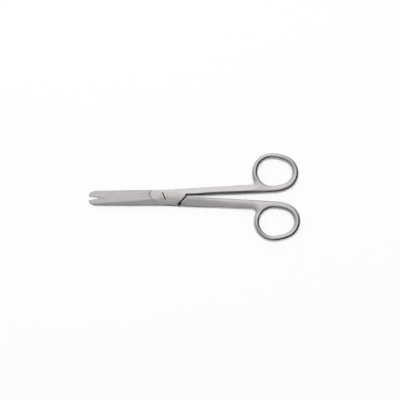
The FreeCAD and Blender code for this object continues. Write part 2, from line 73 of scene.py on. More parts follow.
# Sloping sides as width, slope at the edge and bend, in the order that bank() takes them
STEP_BANK = (0.45, 0.9, 0.3)
BACK_BANK = (0.4, 0.8, 0.8)
SHANK_BANK = (0.7, 0.66, 1)
RING_BANK = (2.05, 0.8, 0.5)
BOX_INNER_BANK = (1.0, 0.7, 0.2)
LAP_BANK = (0.4, 0.8, 0.5)
INNER_SLOPE, INNER_BEND = 0.74, 0.12

# Rounded edges as depth and width
BOX_EASE, HANDLE_EASE, HEAD_EASE = (0.25, 0.35), (0.4, 0.4), (0.05, 0.08)

# What differs between the halves: the y of cutting edge and back at the blade's tip and root, the end
# of the back's level run, the box's outer corner, where the shank's outer side starts and its slope in
# degrees, the radius of the inner side's arc, the ring's near centre and tilt in degrees, the radius of
# the web beside the ring, and the widths of inner bank and outer facet near the joint and far from it
HALVES = {
    "upper": dict(edge_tip=-3.07, edge_root=3.76, back_tip=-6.5, back_root=-6.6, lobe=(2.0, -5.8),
                  box_outer=4.3, shank=(1.4, 4.4), shank_slope=3.47, bow=1000.0, ring=(76.3, 16.5),
                  tilt=-1.1, web=1.8, inner_side=(1.4, 2.4), facet=(3.4, 3.4)),
    "lower": dict(edge_tip=0.1, edge_root=5.9, back_tip=-3.5, back_root=-4.3, lobe=(2.0, -3.3),
                  box_outer=6.2, shank=(3.0, 6.96), shank_slope=2.07, bow=3000.0, ring=(77.6, 17.9),
                  tilt=-2.4, web=2.6, inner_side=(0.25, 1.3), facet=(5.8, 3.4)),
}

# Each half's chamfer round the mouth of its pivot hole, and the hole's radius and height at each turn
WELLS = {
    "upper": (0.03, [(SEAT_RADIUS, SEAT_FLOOR), (NECK_RADIUS, SEAT_FLOOR), (NECK_RADIUS, INNER_FACE)]),
    "lower": (0.06, [(THREAD_RADIUS, INNER_FACE)]),
}

SATIN, GROUND = 0, 1


# Plan curves, in millimetres

def heading(angle):
    """The unit vector at an angle: (cos a, sin a)."""
    return np.stack((np.cos(angle), np.sin(angle)), -1)


def angle_of(vector):
    """The angle of a vector, the inverse of heading()."""
    return np.arctan2(vector[..., 1], vector[..., 0])


def unit(vector):
    """The vector divided by its length."""
    return vector / np.linalg.norm(vector)


def left_of(vector):
    """The vector turned a quarter anticlockwise: (-y, x)."""
    return np.array((-vector[1], vector[0]))


def cross(first, second):
    """The cross product of two plan vectors: x1 y2 - y1 x2."""
    return first[0] * second[1] - first[1] * second[0]


def smooth(value, low=0.0, high=1.0):
    """Rises from 0 at low to 1 at high with level ends: 3t^2 - 2t^3."""
    t = np.clip((value - low) / (high - low), 0, 1)
    return t * t * (3 - 2 * t)


def mix(first, second, share):
    """The straight blend a + (b - a) t."""
    return first + (second - first) * share


def arc(centre, radius, start, stop, pitch=0.12):
    """Points on a circle, c + r (cos a, sin a), from one point anticlockwise to another."""
    first, last = angle_of(start - centre), angle_of(stop - centre)
    if last < first:
        last += 2 * math.pi
    angles = np.linspace(first, last, max(3, int(radius * (last - first) / pitch)))
    return centre + radius * heading(angles)


def parabola(first, corner, last, count=12):
    """The curve that leaves and meets the sides of a corner: (1-t)^2 a + 2t(1-t) c + t^2 b."""
    t = np.linspace(0, 1, count)[:, None]
    return (1 - t) ** 2 * first + 2 * t * (1 - t) * corner + t ** 2 * last


def rounded(start, corner, stop, reach):
    """A corner eased by a parabola that begins and ends at a given reach from it."""
    return parabola(corner + unit(start - corner) * reach, corner, corner + unit(stop - corner) * reach)


def joined(*parts):
    """Plan curves laid end to end, with doubled points left out."""
    points = np.concatenate([np.atleast_2d(part) for part in parts])
    keep = np.append(True, np.linalg.norm(np.diff(points, axis=0), axis=1) > 1e-5)
    return points[keep]


def length_along(chain):
    """The running sum of a chain's straight runs."""
    return np.append(0, np.cumsum(np.linalg.norm(np.diff(chain, axis=0), axis=1)))


def nearest(points, chain):
    """The distance from each point to a chain of straight runs, and the place along it, in runs."""
    start, run = chain[:-1], np.diff(chain, axis=0)
    long = (run ** 2).sum(1)
    near, place = np.empty(len(points)), np.empty(len(points))
    block = 4000
    for first in range(0, len(points), block):
        part = points[first:first + block, None] - start
        t = np.clip((part * run).sum(2) / long, 0, 1)
        gap = ((part - t[..., None] * run) ** 2).sum(2)
        best = gap.argmin(1)
        row = np.arange(len(best))
        near[first:first + block] = np.sqrt(gap[row, best])
        place[first:first + block] = best + t[row, best]
    return near, place


def egg(centre, tilt, wide, end):
    """
    A finger ring's oval of four tangent arcs, as in a draughtsman's oval with unequal ends. The flat
    sides' centres lie R - wide across from the near centre and R - end from the far one, which gives
    their radius R = (stretch^2 + wide^2 - end^2) / (2 (wide - end)).
    """
    along, across = heading(tilt), heading(tilt + math.pi / 2)
    side = (RING_STRETCH ** 2 + wide ** 2 - end ** 2) / (2 * (wide - end))
    far = centre + along * RING_STRETCH
    below, above = centre + across * (wide - side), centre + across * (side - wide)
    return dict(far=far, side=side, below=below, above=above, top=centre + across * wide,
                bottom=centre - across * wide, far_top=far + unit(far - below) * end,
                far_bottom=far + unit(far - above) * end)


def egg_loop(centre, tilt):
    """The finger hole's closed loop of four arcs."""
    oval = egg(centre, tilt, RING_WIDE, RING_END)
    return joined(arc(centre, RING_WIDE, oval["top"], oval["bottom"]),
                  arc(oval["above"], oval["side"], oval["bottom"], oval["far_bottom"]),
                  arc(oval["far"], RING_END, oval["far_bottom"], oval["far_top"]),
                  arc(oval["below"], oval["side"], oval["far_top"], oval["top"]))


def tip_curves(half, back_root, edge_root):
    """
    The blunt tip's foremost point and the two curves that leave it. The back is a quarter of the
    superellipse |x|^p + |y|^p = 1, and the edge is rounded by a parabola.
    """
    s = HALVES[half]
    tip = np.array((-BLADE_REACH, mix(s["edge_tip"], s["back_tip"], TIP_PLACE)))
    turn = np.linspace(0, math.pi / 2, 60)
    back_y = mix(s["back_tip"], back_root[1], TIP_LONG / (BLADE_REACH - BOX_REACH))
    back = np.stack((tip[0] + TIP_LONG * (1 - np.cos(turn) ** (2 / TIP_POWER)),
                     tip[1] + (back_y - tip[1]) * np.sin(turn) ** (2 / TIP_POWER)), 1)
    reach = 0.9
    slope = (edge_root[1] - s["edge_tip"]) / (edge_root[0] - tip[0])
    corner = np.array((tip[0], s["edge_tip"] + 0.1))
    edge = parabola(tip, corner, np.array((tip[0] + reach, s["edge_tip"] + reach * slope)), 14)
    return tip, back, edge


def plan(half):
    """
    The outline of one half as chains of points: back, step, inner side, outer side, edge and hole.
    Shank and ring are arcs and straight runs that touch: two circles touch where their centres are the
    sum or the difference of their radii apart.
    """
    s = HALVES[half]
    corner, ring, shank = np.array(CROTCH), np.array(s["ring"]), np.array(s["shank"])
    tilt = math.radians(s["tilt"])
    wide, end = RING_WIDE + RING_WALL, RING_END + RING_WALL
    oval = egg(ring, tilt, wide, end)

    # The inner side bows from the crotch into the ring's flat side
    bow, reach = s["bow"], np.linalg.norm(oval["above"] - corner)
    along = (bow ** 2 - (bow - oval["side"]) ** 2 + reach ** 2) / (2 * reach)
    aim = unit(oval["above"] - corner)
    bow_centre = corner + aim * along + left_of(aim) * math.sqrt(bow ** 2 - along ** 2)
    meeting = bow_centre + unit(oval["above"] - bow_centre) * bow

    # The web is the fillet between the shank's straight outer side and the ring
    run = heading(math.radians(s["shank_slope"]))
    lift = left_of(run)
    web_line = shank + lift * s["web"]
    ahead, aside = (ring - web_line) @ run, (ring - web_line) @ lift
    web_centre = web_line + run * (ahead - math.sqrt((wide + s["web"]) ** 2 - aside ** 2))
    web_on_shank, web_on_ring = web_centre - lift * s["web"], ring + unit(web_centre - ring) * wide
    web_arc = arc(web_centre, s["web"], web_on_shank, web_on_ring, 0.05)[::-1]

    # Corners of blade and box
    tip_back = np.array((-BLADE_REACH, s["back_tip"]))
    back_root = np.array((-BOX_REACH, s["back_root"]))
    edge_root = np.array((-BOX_REACH, s["edge_root"]))
    box_outer = np.array((-BOX_REACH + 0.9, s["box_outer"]))
    lobe_x, foot_y = s["lobe"]
    lobe = np.array((lobe_x, s["back_root"]))
    foot = np.array((corner[0] - (corner[1] - foot_y) / math.tan(STEP_SLOPE), foot_y))
    tip, tip_round, edge_round = tip_curves(half, back_root, edge_root)
    box_side = rounded(box_outer, shank, web_on_shank, 3.0)

    # The crotch is hardly eased, and the step's line meets the shank's outer side at the shoulder
    crotch_round = rounded(foot, corner, corner + np.array((14.0, 0.0)), 0.35)
    middle = len(crotch_round) // 2
    step_run = heading(math.pi - STEP_SLOPE)
    shoulder = corner + step_run * cross(shank - corner, run) / cross(step_run, run)

    inner_arc = arc(bow_centre, bow, corner, meeting)
    inner_arc = inner_arc[inner_arc[:, 0] > crotch_round[-1, 0] + 0.05]
    under_arc = arc(oval["above"], oval["side"], meeting, oval["far_bottom"])
    far_arc = arc(oval["far"], end, oval["far_bottom"], oval["far_top"])
    east = int(np.argmax(far_arc[:, 0]))
    over_arc = arc(oval["below"], oval["side"], oval["far_top"], oval["top"])
    near_arc = arc(ring, wide, oval["top"], web_on_ring)
    ring_side = joined(far_arc[east:], over_arc, near_arc)
    return {
        "back": joined(tip_round, rounded(tip_back, back_root, lobe, 4.0),
                       rounded(back_root, lobe, foot, 3.5), foot),
        "step": joined(foot, crotch_round[:middle + 1]),
        "inner": joined(crotch_round[middle:], inner_arc, under_arc, far_arc[:east + 1]),
        "outer": joined(ring_side, web_arc, box_side[::-1], box_outer),
        "edge": joined(box_outer, edge_root, edge_round[::-1]),
        "hole": egg_loop(ring + np.array(RING_SHIFT), tilt),
        "web_at": len(ring_side) + len(web_arc) // 2,
        "tip": tip, "foot": foot, "shoulder": shoulder,
        "inner_side": s["inner_side"], "facet": s["facet"],
    }


# Heights

# In smooth(x, a, b), a and b are the places in millimetres between which one form turns into the next

def eased(distance, depth, width):
    """How far an edge has dropped that is rounded by a quarter of an ellipse: depth (1 - sqrt(1 - t^2))."""
    t = 1 - np.clip(distance / width, 0, 1)
    return depth * (1 - np.sqrt(np.maximum(1 - t * t, 0)))


def bank(distance, width, slope, bend):
    """A side that leaves the crown level and steepens to its edge: slope w / (1 + bend) t^(1 + bend)."""
    t = 1 - np.clip(distance / width, 0, 1)
    return slope * width / (1 + bend) * t ** (1 + bend)


def bend_down(distance, soft):
    """A slope with a rounded start, level before 0 and rising as distance after: s ln(1 + e^(d / s))."""
    return soft * np.logaddexp(0, distance / soft)


def blade_height(x):
    """The blade face's straight run from its height at the root to that at the tip."""
    return mix(BLADE_FACE_ROOT, BLADE_FACE_TIP, (-BOX_REACH - x) / (BLADE_REACH - BOX_REACH))


def ridge_place(x):
    """Where the back's bevel leaves the outer face: it comes nearer to the back as the face runs down."""
    return RIDGE_Y - (JOINT_THICK - mix(blade_height(x), JOINT_THICK, smooth(x, -14, -8))) / BEVEL


def shoulder_place(y):
    """Where the blade's face steps up to the box: a shallow parabola, hollow towards the box."""
    return -BOX_REACH - 0.2 + 0.14 * (y - 1) ** 2


def box_height(x, y, gap, step_side):
    """The blade's and the box's top: a sloping face less its groove, bevelled back, crown and edges."""
    past = x - shoulder_place(y)
    ridge = ridge_place(x)
    face = mix(blade_height(x), JOINT_THICK, smooth(past, -0.1, 0.9))
    groove = GROOVE_DEEP * np.exp(-((past + 0.1) / GROOVE_WIDE) ** 2)
    groove = groove * smooth(y - ridge, -0.6, 1.2) * smooth(gap["edge"][0], 0, 1.2)
    bevel = BEVEL * bend_down(ridge - y, mix(0.14, 1.0, smooth(x, -11, 1)))
    crown = CROWN * np.maximum(y, ridge) ** 2 * smooth(x, -9, 1)
    edges = bank(gap["back"][0], *BACK_BANK) + eased(gap["outer"][0], *BOX_EASE)
    ground = EDGE_DEEP * np.clip(1 - gap["edge"][0] / EDGE_WIDE, 0, 1)
    ground = ground * smooth(-x, BOX_REACH - 0.6, BOX_REACH + 1.5)
    return face - groove - bevel - crown - edges - step_side - ground


def handle_height(x, gap, step_side, curves):
    """
    The shank's and the ring's top: a crown that sinks a little towards the ring, less the drops of facet
    and banks, by the distance from each side. Where drops d meet, they blend as (d1^5 + d2^5 + ...)^(1/5).
    """
    off, at = gap["outer"]
    outer, place = curves["outer"], np.arange(len(curves["outer"]))
    along = length_along(outer)
    ringed = smooth(along[curves["web_at"]] - np.interp(at, place, along), -5, 10)
    level = np.interp(at, place, outer[:, 0])
    facet = mix(*curves["facet"], smooth(level, 16, 62)) * smooth(level, 2, 16)
    shank_side = BEVEL * bend_down(facet - off, 0.6) + bank(off, *SHANK_BANK)
    drop_outer = mix(shank_side, bank(off, *RING_BANK), ringed)

    off, at = gap["inner"]
    inner, place = curves["inner"], np.arange(len(curves["inner"]))
    ringed = np.interp(at, place, smooth(inner[:, 0], 60, 74))
    wide = np.interp(at, place, mix(*curves["inner_side"], smooth(inner[:, 0], 18, 38)))
    drop_inner = mix(bank(off, wide, INNER_SLOPE, INNER_BEND), bank(off, *RING_BANK), ringed)

    drop_hole = bank(gap["hole"][0], *RING_BANK)
    power = 5
    drop = sum(part ** power for part in (drop_outer, drop_inner, drop_hole, step_side)) ** (1 / power)
    nearest_edge = np.minimum.reduce([gap[name][0] for name in ("outer", "inner", "hole")])
    return JOINT_THICK - HANDLE_DROP * smooth(x, 12, 60) - drop - eased(nearest_edge, *HANDLE_EASE)


def top_height(points, curves):
    """The outer face's height over the plan: box and shank run smoothly into each other at the crotch."""
    x, y = points.T
    gap = {name: nearest(points, curves[name]) for name in ("back", "step", "inner", "outer", "edge", "hole")}
    step_side = bank(gap["step"][0], *STEP_BANK)
    past = x + np.minimum(y - CROTCH[1], 0)
    return mix(box_height(x, y, gap, step_side), handle_height(x, gap, step_side, curves), smooth(past, 4, 17))


# Meshes

def cells_of(number):
    """The four corners of each cell in a grid of point numbers."""
    return np.stack((number[:-1, :-1], number[1:, :-1], number[1:, 1:], number[:-1, 1:]), -1)


class Shell:
    """Grids of points gathered into one closed mesh, in millimetres."""

    def __init__(self):
        self.points, self.faces, self.tags, self.count = [], [], [], 0

    def grid(self, points, ring=False, finish=SATIN):
        """Adds a grid of points, shape (rows, columns, 3). A ring's last row meets its first."""
        rows, columns = points.shape[:2]
        number = np.arange(rows * columns).reshape(rows, columns)
        if ring:
            number = np.concatenate((number, number[:1]))
        self.cells(points.reshape(-1, 3), cells_of(number).reshape(-1, 4), finish)

    def cells(self, points, quads, finish):
        """Adds points and the four-sided faces between them."""
        self.points.append(points)
        self.faces.append(quads + self.count)
        self.tags.append(np.full(len(quads), finish))
        self.count += len(points)

    def build(self, name, shade_paint, turned=False):
        """Merges doubled points, closes poles as triangles, turns the lower half over and makes the mesh."""
        points, faces = np.concatenate(self.points), np.concatenate(self.faces)
        tags = np.concatenate(self.tags)
        _, first, back = np.unique(np.round(points, 4), axis=0, return_index=True, return_inverse=True)
        points, faces = points[first], back.reshape(-1)[faces]
        same = faces == np.roll(faces, -1, axis=1)
        crossed = (faces[:, 0] == faces[:, 2]) | (faces[:, 1] == faces[:, 3])
        whole, pole = ~same.any(1) & ~crossed, (same.sum(1) == 1) & ~crossed
        quads, threes = faces[whole], faces[pole][~same[pole]].reshape(-1, 3)
        corners = np.concatenate((quads.reshape(-1), threes.reshape(-1)))
        used, new = np.unique(corners, return_inverse=True)
        new = new.reshape(-1)
        points = points[used]
        # Painted shade: each point's share of the dark shade colour
        marks = shade_paint(points)
        if turned:
            points = points * (1, -1, -1) + (0, 0, JOINT_THICK)
        mesh = bpy.data.meshes.new(name)
        cells = new[:quads.size].reshape(-1, 4).tolist() + new[quads.size:].reshape(-1, 3).tolist()
        mesh.from_pydata((points / 1000).tolist(), [], cells)
        finishes = np.concatenate((tags[whole], tags[pole])).astype(np.int32)
        mesh.polygons.foreach_set("material_index", finishes)
        # The painted shade is kept on the mesh as a point attribute for the material
        painted_shade = mesh.attributes.new("painted_shade", "FLOAT", "POINT")
        painted_shade.data.foreach_set("value", marks.astype(np.float32))
        mesh.validate()
        made = bmesh.new()
        made.from_mesh(mesh)
        bmesh.ops.recalc_face_normals(made, faces=made.faces)
        made.to_mesh(mesh)
        made.free()
        mesh.shade_smooth()
        mesh.set_sharp_from_angle(angle=math.radians(32))
        piece = bpy.data.objects.new(name, mesh)
        bpy.context.scene.collection.objects.link(piece)
        return piece


def raised(points, height):
    """Plan points given a height: (x, y, z)."""
    return np.concatenate((points, np.broadcast_to(height, points.shape[:-1])[..., None]), -1)


def cosine(count):
    """From 0 to 1, close together at both ends: (1 - cos a) / 2."""
    return (1 - np.cos(np.linspace(0, math.pi, count))) / 2


def long_sides(curves):
    """
    The low and high sides of a half's strip of columns, from tip to ring, and the row of each station.
    Rows are evenly spaced between stations, but close up towards the tip as t^2.
    """
    foot, shoulder, web = curves["foot"], curves["shoulder"], curves["outer"][curves["web_at"]]
    # A station's x on the low side and on the high side, and the rows from it to the next
    stations = {
        "tip": (-BLADE_REACH, -BLADE_REACH, 26), "blade": (-47.0, -47.0, 70), "root": (-12.0, -12.0, 24),
        "box": (-7.5, -7.5, 12), "block": (-BLOCK_X, -BLOCK_X, 22), "block_end": (BLOCK_X, BLOCK_X, 14),
        "foot": (foot[0], 7.0, 20), "step": (curves["step"][-1, 0], shoulder[0], 20),
        "shank": (24.0, 24.0, 66), "ring": (RING_START, web[0], 1),
    }
    low_x, high_x, row_of, count = [], [], {}, 0
    places = list(stations.values())
    for name, (a, b, rows), (c, d, _) in zip(stations, places, places[1:]):
        t = np.linspace(0, 1, rows, endpoint=False)
        if name == "tip":
            t = t ** 2
        low_x.append(mix(a, c, t))
        high_x.append(mix(b, d, t))
        row_of[name] = count
        count += rows
    low_x, high_x = np.append(np.concatenate(low_x), RING_START), np.append(np.concatenate(high_x), web[0])
    low = joined(curves["back"], curves["step"], curves["inner"])
    high = joined(curves["edge"][::-1], curves["outer"][curves["web_at"]:][::-1])
    low_side = np.stack((low_x, np.interp(low_x, low[:, 0], low[:, 1])), 1)
    high_side = np.stack((high_x, np.interp(high_x, high[:, 0], high[:, 1])), 1)
    low_side[0] = high_side[0] = curves["tip"]
    high_side[-1] = web
    return low_side, high_side, row_of


def long_strip(low_side, high_side):
    """
    Columns of points across a half, ruled from side to side. A crowded column follows the bevel's ridge
    along the blade, and the outer facet's edge along the shank.
    """
    middle_x = (low_side[:, 0] + high_side[:, 0]) / 2
    wide = np.maximum(np.linalg.norm(high_side - low_side, axis=1), 1e-6)
    rise = np.maximum(high_side[:, 1] - low_side[:, 1], 1e-6)
    on_ridge = np.clip((ridge_place(middle_x) - low_side[:, 1]) / rise, 0.15, 0.85)
    on_facet = np.clip(1 - 3.2 / wide, 0.3, 0.7)
    share = mix(on_ridge, on_facet, smooth(middle_x, 6, 22))[:, None]
    across = np.concatenate((share * cosine(19)[:-1], share + (1 - share) * cosine(23)), 1)
    return mix(low_side[:, None], high_side[:, None], across[..., None]), middle_x


def ring_grid(curves, strip_end):
    """
    The finger ring's plan grid, ruled from the outline to the hole along rays from the hole's middle,
    and the outline that it starts from: the strip's last row, then round the ring.
    """
    hole = curves["hole"]
    centre = (hole.min(0) + hole.max(0)) / 2
    start = np.argmin(abs(curves["inner"][:, 0] - RING_START))
    free = joined(curves["inner"][start + 1:], curves["outer"][:curves["web_at"]])
    long = length_along(free)
    even = np.linspace(0, long[-1], 190)[1:-1]
    free = np.stack([np.interp(even, long, free[:, k]) for k in (0, 1)], 1)
    loop = np.concatenate((strip_end[::-1], free))
    hole_angle, loop_angle = angle_of(hole - centre), angle_of(loop - centre)
    order = np.argsort(hole_angle)
    hole_far = np.linalg.norm(hole - centre, axis=1)
    far = np.interp(loop_angle, hole_angle[order], hole_far[order], period=2 * math.pi)
    rim = centre + far[:, None] * heading(loop_angle)
    return mix(loop[:, None], rim[:, None], cosine(27)[:, None]), loop


def half_shade_paint(curves, step_line):
    """
    Painted shade on a half, where its gap and recesses fall into shade: the lap joint's corner, the sides
    next to the crotch, the step's wall, and faintly the shoulder's groove, as e^-(d / w)^2, and the end of
    the blade's face beside it. Each fades over a fraction of a millimetre, and the darkest counts.
    """
    crotch_side = curves["inner"][curves["inner"][:, 0] < 42]

    def shade_paint(points):
        x, y, z = points.T

        def close_to(chain, reach, fade):
            """1 beside a plan curve, and 0 from its reach on."""
            return smooth(reach - nearest(points[:, :2], chain)[0], 0, fade)

        def between_faces(clear):
            """1 on a side wall, and 0 within a clear margin of the outer faces."""
            return smooth(z, clear, clear + 0.3) * smooth(JOINT_THICK - z, clear, clear + 0.3)

        # Painted shade: the gap's walls beside the crotch, the step's wall, the lap's corner and the shoulder's
        # groove take the dark colour where shade falls
        side = close_to(crotch_side, 0.45, 0.3) * between_faces(0.05) * (1 - smooth(x, 26, 40))
        wall = close_to(curves["step"], 0.45, 0.3) * between_faces(0.7) * (x > curves["foot"][0])
        corner = close_to(step_line, 1.2, 0.6) * between_faces(0.7) * (z < INNER_FACE + 0.1)
        past = x - shoulder_place(y) + 0.1
        groove = 0.24 * np.exp(-(past / 0.45) ** 2) + 0.08 * smooth(past, -7, -1) * smooth(-past, -0.2, 0.2)
        groove = groove * smooth(y, -3, -1) * smooth(z, 3.5, 3.8)
        return np.maximum.reduce((side, wall, corner, groove))

    return shade_paint


def make_half(half):
    """
    One forged half: a strip of columns from tip to ring, collars round the pivot hole and a grid round
    the finger hole, with walls from the top face's height down to the lower face's.
    """
    curves = plan(half)
    low_side, high_side, row_of = long_sides(curves)
    strip, middle_x = long_strip(low_side, high_side)
    rows, columns = strip.shape[:2]
    step_row = row_of["step"]
    step_line = np.stack((np.array(CROTCH), curves["shoulder"]))
    shell = Shell()

    def over(points):
        """The top face's height on a grid of plan points."""
        return top_height(points.reshape(-1, 2), curves).reshape(points.shape[:2])

    def from_line(chain):
        """The distance of the strip's points from a plan curve."""
        return nearest(strip.reshape(-1, 2), chain)[0].reshape(rows, columns)

    def wall(points, upper, lower, finish=SATIN, ring=False):
        """Faces from one height straight to another under a chain of plan points."""
        share = np.linspace(0, 1, 4)
        heights = mix(upper[:, None], lower[:, None], share)
        shell.grid(raised(np.repeat(points[:, None], len(share), 1), heights), ring, finish)

    # The faces: top, inner face from tip to step, and underside from there. The block round the pivot
    # stays open for the collars.
    top = over(strip)
    inner = INNER_FACE + bank(from_line(curves["outer"]), *BOX_INNER_BANK) * smooth(strip[..., 0], -8, -3)
    under = JOINT_THICK - top + bank(from_line(step_line), *LAP_BANK)
    quads = cells_of(np.arange(rows * columns).reshape(rows, columns))
    a, b = row_of["block"], row_of["block_end"]
    c, d = (int(np.argmin(abs(strip[a, :, 1] - y))) for y in (-BLOCK_Y, BLOCK_Y))
    solid = np.ones(quads.shape[:2], bool)
    solid[a:b, c:d] = False
    middle = (strip[:-1, :-1] + strip[1:, 1:]) / 2
    flat = (middle[..., 0] < shoulder_place(middle[..., 1])) & (middle[..., 1] > ridge_place(middle[..., 0]))
    blade = np.repeat(middle_x[:-1, None] < -BOX_REACH, columns - 1, 1)
    for height, first, last, ground in ((top, 0, rows - 1, flat), (inner, 0, step_row, blade),
                                        (under, step_row, rows - 1, blade)):
        for finish in (SATIN, GROUND):
            chosen = solid[first:last] & (ground[first:last] == finish)
            shell.cells(raised(strip, height).reshape(-1, 3), quads[first:last][chosen], finish)

    # Side walls, and the lap joint's step
    root = row_of["root"]
    for side, column in ((low_side, 0), (high_side, -1)):
        for height, first, last, finish in ((inner, 0, root, GROUND), (inner, root, step_row, SATIN),
                                            (under, step_row, rows - 1, SATIN)):
            part = slice(first, last + 1)
            wall(side[part], top[part, column], height[part, column], finish)
    wall(strip[step_row], inner[step_row], under[step_row])

    # The collars round the pivot hole, ruled from the block's border, and the hole itself
    border = np.concatenate((strip[a:b, c], strip[b, c:d], strip[b:a:-1, d], strip[a, d:c:-1]))
    circle = heading(angle_of(border))

    def collar(radius, height_of):
        """A ruled ring from the block's border to a circle, with rows at t^0.8."""
        t = np.linspace(0, 1, 6) ** 0.8
        points = mix(border[:, None], (circle * radius)[:, None], t[:, None])
        shell.grid(raised(points, height_of(points)), ring=True)

    chamfer, well = WELLS[half]
    mouth = well[0][0]
    mouth_height = over((circle * (mouth + chamfer))[:, None])[:, 0]
    collar(mouth + chamfer, over)
    turns = [(mouth + chamfer, mouth_height), (mouth, mouth_height - chamfer)] + well
    shell.grid(np.stack([raised(circle * radius, height) for radius, height in turns], 1), ring=True)
    collar(well[-1][0], lambda points: INNER_FACE)

    # The finger ring, whose underside repeats its top
    ring, loop = ring_grid(curves, strip[-1])
    ring_top = over(ring)
    shell.grid(raised(ring, ring_top), ring=True)
    shell.grid(raised(ring, JOINT_THICK - ring_top), ring=True)
    wall(ring[:, -1], ring_top[:, -1], JOINT_THICK - ring_top[:, -1], ring=True)
    outline = np.append(np.arange(columns - 1, len(loop)), 0)
    wall(loop[outline], ring_top[outline, 0], JOINT_THICK - ring_top[outline, 0])

    # The half's painted shade goes with its mesh
    return shell.build(half + "_half_forged", half_shade_paint(curves, step_line), turned=half == "lower")


def make_screw():
    """
    The pivot screw. Rows lie across the head, parallel to the slot: u from -r to r and v from side to
    side of the circle u^2 + v^2 = r^2, lowered between the slot's walls. Loops then run down round
    head, shaft and thread to the end's middle.
    """
    wall = SLOT_WIDE / 2
    land_rows, slot_rows, row_points = 16, 7, 33
    side = mix(wall, HEAD_RADIUS, cosine(land_rows))
    u = np.concatenate((-side[::-1], np.linspace(-wall, wall, slot_rows), side))
    cut = np.repeat((False, True, False), (land_rows, slot_rows, land_rows))[:, None]
    half_row = np.sqrt(np.maximum(HEAD_RADIUS ** 2 - u ** 2, 0))[:, None]
    v = half_row * np.sin(np.linspace(-1, 1, row_points) * math.pi / 2)
    along = heading(SLOT_TURN)
    across = -left_of(along)
    place = u[:, None, None] * across + v[..., None] * along
    face = top_height(place.reshape(-1, 2), plan("upper")).reshape(v.shape) - HEAD_SINK
    floor = face - SLOT_DEEP
    top = np.where(cut, floor, face - eased(HEAD_RADIUS - np.linalg.norm(place, axis=-1), *HEAD_EASE))

    def around(grid):
        """The grid's rim: along its rows' first points and back along their last."""
        return np.concatenate((grid[:, 0], grid[::-1, -1]))

    rim = around(place)
    circle = heading(angle_of(rim))
    turns = [(HEAD_RADIUS, HEAD_FLOOR + HEAD_EDGE), (HEAD_RADIUS - HEAD_EDGE, HEAD_FLOOR),
             (SHAFT_RADIUS, HEAD_FLOOR), (SHAFT_RADIUS, SHAFT_END), (THREAD_RADIUS, THREAD_START),
             (THREAD_RADIUS, SCREW_END + END_EDGE), (THREAD_RADIUS - END_EDGE, SCREW_END), (0.0, SCREW_END)]
    below = [raised(circle * radius, height) for radius, height in turns]
    shell = Shell()
    shell.grid(raised(place, top))
    shell.grid(np.stack([raised(rim, around(top)), raised(rim, around(floor))] + below, 1), ring=True)

    def shade_paint(points):
        """Painted shade: the slot's walls and floor take the dark shade colour."""
        inside = abs(points[:, :2] @ across) < wall + 0.01
        return 0.9 * inside * (points[:, 2] > HEAD_FLOOR + 0.1) * smooth(JOINT_THICK - points[:, 2], 0.12, 0.3)

    return shell.build("slotted_pivot_screw", shade_paint)


upper_half = make_half("upper")
lower_half = make_half("lower")
pivot_screw = make_screw()


# Materials

def linear(code):
    """A colour written as sRGB hex, in linear light."""
    parts = [int(code[i:i + 2], 16) / 255 for i in (1, 3, 5)]
    return tuple(c / 12.92 if c <= 0.04045 else ((c + 0.055) / 1.055) ** 2.4 for c in parts) + (1.0,)


def add_node(tree, kind, settings=None, inputs=None):
    """Adds a node, sets its own settings, and feeds its inputs with values or other nodes' outputs."""
    node = tree.nodes.new(kind)
    for name, value in (settings or {}).items():
        setattr(node, name, value)
    for name, value in (inputs or {}).items():
        if isinstance(value, bpy.types.NodeSocket):
            tree.links.new(value, node.inputs[name])
        else:
            node.inputs[name].default_value = value
    return node


def sized(x, y, z):
    """A pattern's scale on coordinates in metres, from the size of its features in millimetres."""
    return (1000 / x, 1000 / y, 1000 / z)


MULTIPLY_ADD, MAXIMUM, ABSOLUTE = ({"operation": name} for name in ("MULTIPLY_ADD", "MAXIMUM", "ABSOLUTE"))


